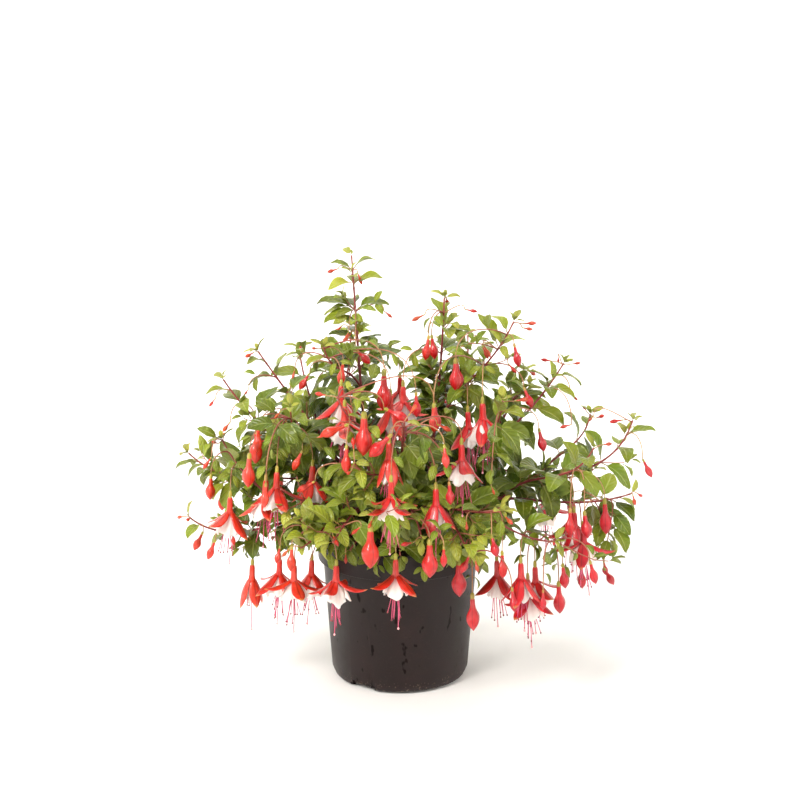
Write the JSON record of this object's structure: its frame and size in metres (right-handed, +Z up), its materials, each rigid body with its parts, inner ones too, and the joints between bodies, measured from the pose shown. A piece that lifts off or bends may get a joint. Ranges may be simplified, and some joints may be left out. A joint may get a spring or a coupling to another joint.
{
  "type": "fuchsia in a nursery pot",
  "caption": "Bushy fuchsia in bloom for a patio or windowsill: pendent red and white flowers on arching leafy shoots, in a round plastic nursery pot of soil.",
  "frame": {"origin": "middle of the pot's underside, on the plane that the pot stands on", "axes": "+Z up, -Y towards the viewer of the picture, +X to the viewer's right"},
  "size_m": [0.4858, 0.4075, 0.4301],
  "materials": {
    "pot_plastic": "satin",
    "potting_soil": "matte",
    "leaf_green": "satin",
    "calyx_red": "satin",
    "petal_white": "satin"
  },
  "bodies": {
    "root": {"pot": "pot_plastic", "soil": "potting_soil", "leafy_cutting_1": "leaf_green", "leafy_cutting_2": "leaf_green", "leafy_cutting_3": "leaf_green", "flower_01_calyx": "calyx_red", "flower_01_corolla": "petal_white", "flower_02_calyx": "calyx_red", "flower_02_corolla": "petal_white", "flower_03_calyx": "calyx_red", "flower_03_corolla": "petal_white", "flower_04_calyx": "calyx_red", "flower_04_corolla": "petal_white", "flower_05_calyx": "calyx_red", "flower_05_corolla": "petal_white", "flower_06_calyx": "calyx_red", "flower_06_corolla": "petal_white", "flower_07_calyx": "calyx_red", "flower_07_corolla": "petal_white", "flower_08_calyx": "calyx_red", "flower_08_corolla": "petal_white", "flower_09_calyx": "calyx_red", "flower_09_corolla": "petal_white", "flower_10_calyx": "calyx_red", "flower_10_corolla": "petal_white", "flower_11_calyx": "calyx_red", "flower_11_corolla": "petal_white", "flower_12_calyx": "calyx_red", "flower_12_corolla": "petal_white", "flower_13_calyx": "calyx_red", "flower_13_corolla": "petal_white", "flower_14_calyx": "calyx_red", "flower_14_corolla": "petal_white", "flower_15_calyx": "calyx_red", "flower_15_corolla": "petal_white", "flower_16_calyx": "calyx_red", "flower_16_corolla": "petal_white", "flower_17_calyx": "calyx_red", "flower_17_corolla": "petal_white", "flower_18_calyx": "calyx_red", "flower_18_corolla": "petal_white", "flower_19_calyx": "calyx_red", "flower_19_corolla": "petal_white", "flower_20_calyx": "calyx_red", "flower_20_corolla": "petal_white", "flower_21_calyx": "calyx_red", "flower_21_corolla": "petal_white", "flower_22_calyx": "calyx_red", "flower_22_corolla": "petal_white", "flower_23_calyx": "calyx_red", "flower_23_corolla": "petal_white", "flower_24_calyx": "calyx_red", "flower_24_corolla": "petal_white", "flower_25_calyx": "calyx_red", "flower_25_corolla": "petal_white", "flower_26_calyx": "calyx_red", "flower_26_corolla": "petal_white"}
  },
  "joints": []
}
